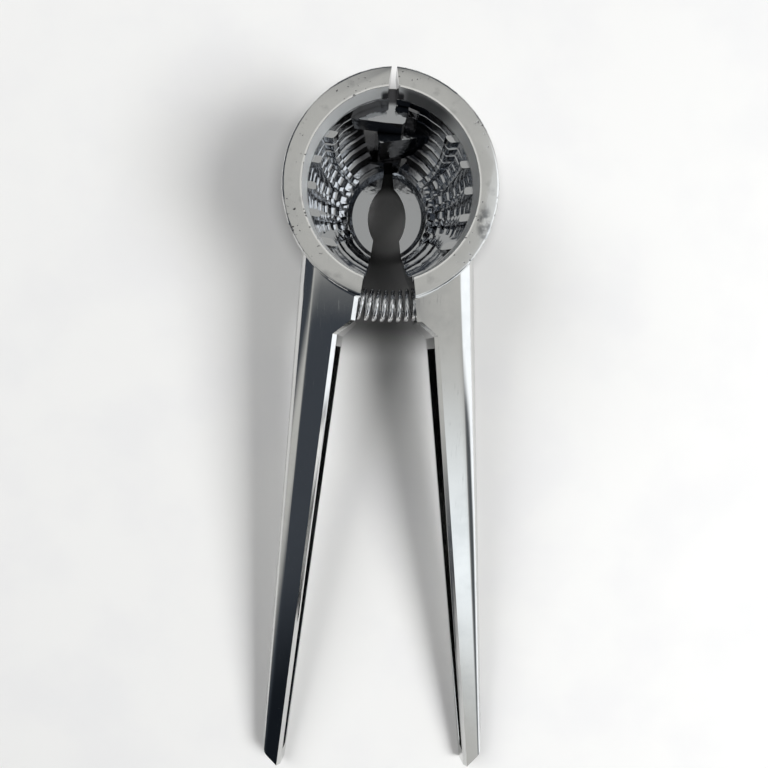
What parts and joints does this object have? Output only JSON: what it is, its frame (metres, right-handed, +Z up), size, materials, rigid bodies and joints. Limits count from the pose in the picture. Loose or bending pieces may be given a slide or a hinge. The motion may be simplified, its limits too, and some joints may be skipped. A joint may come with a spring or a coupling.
{
  "type": "lever nutcracker",
  "caption": "Lever nutcracker: a stepped and ribbed funnel cup split along its middle and hinged at its far end, with channel-section handles held apart by a coil spring.",
  "frame": {"origin": "middle of the whole open nutcracker in plan, on the surface that the cup's foot and the handle tips rest on", "axes": "+Y from the handle tips towards the cup and the hinge, +Z up out of the cup's mouth, +X towards the right jaw"},
  "size_m": [0.0696, 0.2026, 0.038],
  "materials": {
    "left_jaw_chrome": "chrome plated casting, bright",
    "right_jaw_chrome": "chrome plated casting, bright",
    "pin_steel": "plain steel",
    "spring_steel": "drawn spring wire"
  },
  "bodies": {
    "left_side": {"left_jaw": "left_jaw_chrome", "hinge_pin": "pin_steel", "return_spring": "spring_steel"},
    "right_side": {"right_jaw": "right_jaw_chrome"}
  },
  "joints": [
    {"name": "jaw_hinge", "type": "hinge", "parent": "left_side", "child": "right_side", "pos_m": [0, 0.09509, 0.015], "axis": [0, 0, 1], "range_deg": [-15, 0], "stiffness_Nm_per_rad": 3.5, "springref_deg": 2.86, "deforming": ["return_spring"]}
  ]
}
